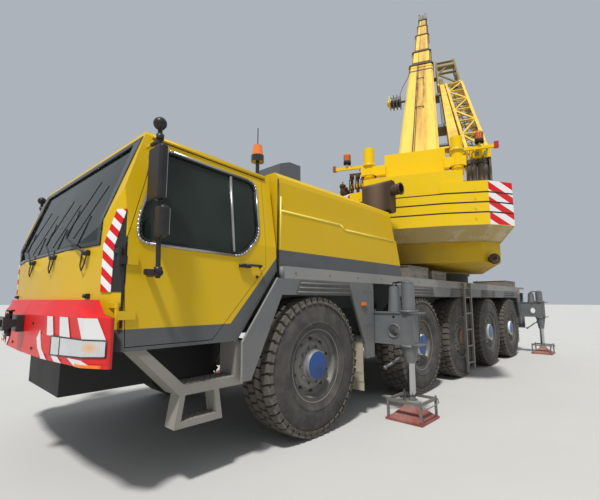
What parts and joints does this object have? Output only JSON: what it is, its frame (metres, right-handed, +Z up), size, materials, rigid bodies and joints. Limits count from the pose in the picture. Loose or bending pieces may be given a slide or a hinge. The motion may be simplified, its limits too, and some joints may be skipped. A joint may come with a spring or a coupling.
{
  "type": "mobile crane",
  "caption": "Yellow mobile crane on road wheels with outriggers out, telescopic boom raised over the rear, folded lattice jib and striped counterweight",
  "frame": {"origin": "on the ground under the axis that the upper works slew about", "axes": "+X forward to the road cab, +Y to the carrier's left, +Z up"},
  "size_m": [25.682, 10.0132, 23.0613],
  "materials": {
    "body_yellow": "worn gloss paint",
    "boom_yellow": "faded paint with grease streaks",
    "frame_grey": "dusty satin paint",
    "deck_grey": "dusty satin paint",
    "axle_black": "greasy black",
    "signal_red": "gloss paint",
    "pad_red": "worn paint",
    "window_glass": "dark tint",
    "interior_plastic": "matt",
    "lamp_plastic": "clear gloss",
    "engine_iron": "oily",
    "silencer_steel": "heat browned",
    "rod_chrome": "polished",
    "tyre": "dusty"
  },
  "bodies": {
    "carrier": {"chassis_frame": "frame_grey", "deck": "deck_grey", "slew_bearing": "frame_grey", "side_panels": "frame_grey", "access_steps": "frame_grey", "axles": "axle_black", "cab_shell": "body_yellow", "cab_windscreen": "window_glass", "cab_interior": "interior_plastic", "front_bumper": "signal_red", "carrier_lamps": "lamp_plastic", "engine_cover": "body_yellow", "engine_block": "engine_iron", "silencer_and_intake": "silencer_steel"},
    "door_left": {"cab_door_left": "body_yellow", "cab_door_glass_left": "window_glass"},
    "door_right": {"cab_door_right": "body_yellow", "cab_door_glass_right": "window_glass"},
    "superstructure": {"turntable": "body_yellow", "counterweight": "body_yellow", "ballast_lifting_gear": "body_yellow", "hoist_winch": "engine_iron", "crane_cab": "body_yellow", "crane_cab_glass": "window_glass"},
    "boom": {"boom_base": "boom_yellow", "folding_jib": "boom_yellow", "cable_reel": "frame_grey"},
    "lift_barrel": {"lift_cylinder_barrel": "body_yellow"},
    "lift_rod": {"lift_cylinder_rod": "rod_chrome"},
    "wheel_1_left": {"wheel_1_left": "tyre"},
    "knuckle_1_left": {"steering_knuckle_1_left": "axle_black"},
    "wheel_1_right": {"wheel_1_right": "tyre"},
    "knuckle_1_right": {"steering_knuckle_1_right": "axle_black"},
    "wheel_2_left": {"wheel_2_left": "tyre"},
    "knuckle_2_left": {"steering_knuckle_2_left": "axle_black"},
    "wheel_2_right": {"wheel_2_right": "tyre"},
    "knuckle_2_right": {"steering_knuckle_2_right": "axle_black"},
    "wheel_3_left": {"wheel_3_left": "tyre"},
    "wheel_3_right": {"wheel_3_right": "tyre"},
    "wheel_4_left": {"wheel_4_left": "tyre"},
    "knuckle_4_left": {"steering_knuckle_4_left": "axle_black"},
    "wheel_4_right": {"wheel_4_right": "tyre"},
    "knuckle_4_right": {"steering_knuckle_4_right": "axle_black"},
    "wheel_5_left": {"wheel_5_left": "tyre"},
    "knuckle_5_left": {"steering_knuckle_5_left": "axle_black"},
    "wheel_5_right": {"wheel_5_right": "tyre"},
    "knuckle_5_right": {"steering_knuckle_5_right": "axle_black"},
    "beam_front_left": {"outrigger_beam_front_left": "frame_grey"},
    "jack_front_left": {"outrigger_jack_front_left": "pad_red"},
    "beam_front_right": {"outrigger_beam_front_right": "frame_grey"},
    "jack_front_right": {"outrigger_jack_front_right": "pad_red"},
    "beam_rear_left": {"outrigger_beam_rear_left": "frame_grey"},
    "jack_rear_left": {"outrigger_jack_rear_left": "pad_red"},
    "beam_rear_right": {"outrigger_beam_rear_right": "frame_grey"},
    "jack_rear_right": {"outrigger_jack_rear_right": "pad_red"},
    "boom_tube_1": {"boom_section_1": "boom_yellow"},
    "boom_tube_2": {"boom_section_2": "boom_yellow"},
    "boom_tube_3": {"boom_section_3": "boom_yellow"},
    "boom_tube_4": {"boom_section_4": "boom_yellow"},
    "boom_tube_5": {"boom_section_5": "boom_yellow"}
  },
  "joints": [
    {"name": "steer_1_left", "type": "hinge", "parent": "carrier", "child": "knuckle_1_left", "pos_m": [5.96, 1.09, 0.715], "axis": [0, 0, 1], "range_deg": [-30, 30]},
    {"name": "wheel_spin_1_left", "type": "hinge", "parent": "knuckle_1_left", "child": "wheel_1_left", "pos_m": [5.96, 1.29, 0.715], "axis": [0, 1, 0], "continuous": true},
    {"name": "steer_1_right", "type": "hinge", "parent": "carrier", "child": "knuckle_1_right", "pos_m": [5.96, -1.09, 0.715], "axis": [0, 0, 1], "range_deg": [-30, 30]},
    {"name": "wheel_spin_1_right", "type": "hinge", "parent": "knuckle_1_right", "child": "wheel_1_right", "pos_m": [5.96, -1.29, 0.715], "axis": [0, 1, 0], "continuous": true},
    {"name": "steer_2_left", "type": "hinge", "parent": "carrier", "child": "knuckle_2_left", "pos_m": [3.49, 1.09, 0.715], "axis": [0, 0, 1], "range_deg": [-22.5, 22.5]},
    {"name": "wheel_spin_2_left", "type": "hinge", "parent": "knuckle_2_left", "child": "wheel_2_left", "pos_m": [3.49, 1.29, 0.715], "axis": [0, 1, 0], "continuous": true},
    {"name": "steer_2_right", "type": "hinge", "parent": "carrier", "child": "knuckle_2_right", "pos_m": [3.49, -1.09, 0.715], "axis": [0, 0, 1], "range_deg": [-22.5, 22.5]},
    {"name": "wheel_spin_2_right", "type": "hinge", "parent": "knuckle_2_right", "child": "wheel_2_right", "pos_m": [3.49, -1.29, 0.715], "axis": [0, 1, 0], "continuous": true},
    {"name": "wheel_spin_3_left", "type": "hinge", "parent": "carrier", "child": "wheel_3_left", "pos_m": [1.84, 1.29, 0.715], "axis": [0, 1, 0], "continuous": true},
    {"name": "wheel_spin_3_right", "type": "hinge", "parent": "carrier", "child": "wheel_3_right", "pos_m": [1.84, -1.29, 0.715], "axis": [0, 1, 0], "continuous": true},
    {"name": "steer_4_left", "type": "hinge", "parent": "carrier", "child": "knuckle_4_left", "pos_m": [0.19, 1.09, 0.715], "axis": [0, 0, 1], "range_deg": [-18.75, 18.75]},
    {"name": "wheel_spin_4_left", "type": "hinge", "parent": "knuckle_4_left", "child": "wheel_4_left", "pos_m": [0.19, 1.29, 0.715], "axis": [0, 1, 0], "continuous": true},
    {"name": "steer_4_right", "type": "hinge", "parent": "carrier", "child": "knuckle_4_right", "pos_m": [0.19, -1.09, 0.715], "axis": [0, 0, 1], "range_deg": [-18.75, 18.75]},
    {"name": "wheel_spin_4_right", "type": "hinge", "parent": "knuckle_4_right", "child": "wheel_4_right", "pos_m": [0.19, -1.29, 0.715], "axis": [0, 1, 0], "continuous": true},
    {"name": "steer_5_left", "type": "hinge", "parent": "carrier", "child": "knuckle_5_left", "pos_m": [-1.46, 1.09, 0.715], "axis": [0, 0, 1], "range_deg": [-25, 25]},
    {"name": "wheel_spin_5_left", "type": "hinge", "parent": "knuckle_5_left", "child": "wheel_5_left", "pos_m": [-1.46, 1.29, 0.715], "axis": [0, 1, 0], "continuous": true},
    {"name": "steer_5_right", "type": "hinge", "parent": "carrier", "child": "knuckle_5_right", "pos_m": [-1.46, -1.09, 0.715], "axis": [0, 0, 1], "range_deg": [-25, 25]},
    {"name": "wheel_spin_5_right", "type": "hinge", "parent": "knuckle_5_right", "child": "wheel_5_right", "pos_m": [-1.46, -1.29, 0.715], "axis": [0, 1, 0], "continuous": true},
    {"name": "outrigger_front_left", "type": "slide", "parent": "carrier", "child": "beam_front_left", "axis": [0, 1, 0], "range_m": [-0.54, 1.06]},
    {"name": "jack_stroke_front_left", "type": "slide", "parent": "beam_front_left", "child": "jack_front_left", "axis": [0, 0, 1], "range_m": [-0.35, 0.28]},
    {"name": "outrigger_front_right", "type": "slide", "parent": "carrier", "child": "beam_front_right", "axis": [0, -1, 0], "range_m": [-0.54, 1.06]},
    {"name": "jack_stroke_front_right", "type": "slide", "parent": "beam_front_right", "child": "jack_front_right", "axis": [0, 0, 1], "range_m": [-0.35, 0.28]},
    {"name": "outrigger_rear_left", "type": "slide", "parent": "carrier", "child": "beam_rear_left", "axis": [0, 1, 0], "range_m": [-0.54, 1.06]},
    {"name": "jack_stroke_rear_left", "type": "slide", "parent": "beam_rear_left", "child": "jack_rear_left", "axis": [0, 0, 1], "range_m": [-0.35, 0.28]},
    {"name": "outrigger_rear_right", "type": "slide", "parent": "carrier", "child": "beam_rear_right", "axis": [0, -1, 0], "range_m": [-0.54, 1.06]},
    {"name": "jack_stroke_rear_right", "type": "slide", "parent": "beam_rear_right", "child": "jack_rear_right", "axis": [0, 0, 1], "range_m": [-0.35, 0.28]},
    {"name": "door_left_hinge", "type": "hinge", "parent": "carrier", "child": "door_left", "pos_m": [8, 1.43, 1.8], "axis": [0, 0, -1], "range_deg": [0, 68]},
    {"name": "door_right_hinge", "type": "hinge", "parent": "carrier", "child": "door_right", "pos_m": [8, -1.43, 1.8], "axis": [0, 0, 1], "range_deg": [0, 68]},
    {"name": "slew", "type": "hinge", "parent": "carrier", "child": "superstructure", "pos_m": [0, 0, 1.95], "axis": [0, 0, 1], "continuous": true},
    {"name": "boom_luff", "type": "hinge", "parent": "superstructure", "child": "boom", "pos_m": [1.47821, 0.61229, 3.45], "axis": [-0.3827, 0.9239, 0], "range_deg": [-43.48, 38.52]},
    {"name": "boom_telescope_1", "type": "slide", "parent": "boom", "child": "boom_tube_1", "axis": [-0.6704, -0.2777, 0.6881], "range_m": [-2.95, 5.5]},
    {"name": "boom_telescope_2", "type": "slide", "parent": "boom_tube_1", "child": "boom_tube_2", "axis": [-0.6704, -0.2777, 0.6881], "range_m": [-5.15, 3.2]},
    {"name": "boom_telescope_3", "type": "slide", "parent": "boom_tube_2", "child": "boom_tube_3", "axis": [-0.6704, -0.2777, 0.6881], "range_m": [-3.95, 4.3]},
    {"name": "boom_telescope_4", "type": "slide", "parent": "boom_tube_3", "child": "boom_tube_4", "axis": [-0.6704, -0.2777, 0.6881], "range_m": [-3.2, 5]},
    {"name": "boom_telescope_5", "type": "slide", "parent": "boom_tube_4", "child": "boom_tube_5", "axis": [-0.6704, -0.2777, 0.6881], "range_m": [-0.55, 7.3]},
    {"name": "lift_barrel_pivot", "type": "hinge", "parent": "boom", "child": "lift_barrel", "pos_m": [-2.18577, -0.90538, 6.82495], "axis": [-0.3827, 0.9239, 0], "range_deg": [-2.3, 2.1]},
    {"name": "lift_rod_stroke", "type": "slide", "parent": "lift_barrel", "child": "lift_rod", "axis": [0.3837, 0.1589, -0.9097], "range_m": [-1.58, 1.4]}
  ],
  "couplings": [
    {"joint": "steer_1_right", "follows": "steer_1_left", "ratio": 1},
    {"joint": "steer_2_left", "follows": "steer_1_left", "ratio": 0.75},
    {"joint": "steer_2_right", "follows": "steer_1_left", "ratio": 0.75},
    {"joint": "steer_5_right", "follows": "steer_5_left", "ratio": 1},
    {"joint": "steer_4_left", "follows": "steer_5_left", "ratio": 0.75},
    {"joint": "steer_4_right", "follows": "steer_5_left", "ratio": 0.75},
    {"joint": "lift_barrel_pivot", "follows": "boom_luff", "ratio": 0.05},
    {"joint": "lift_rod_stroke", "follows": "boom_luff", "m_per_rad": 2.0346}
  ]
}
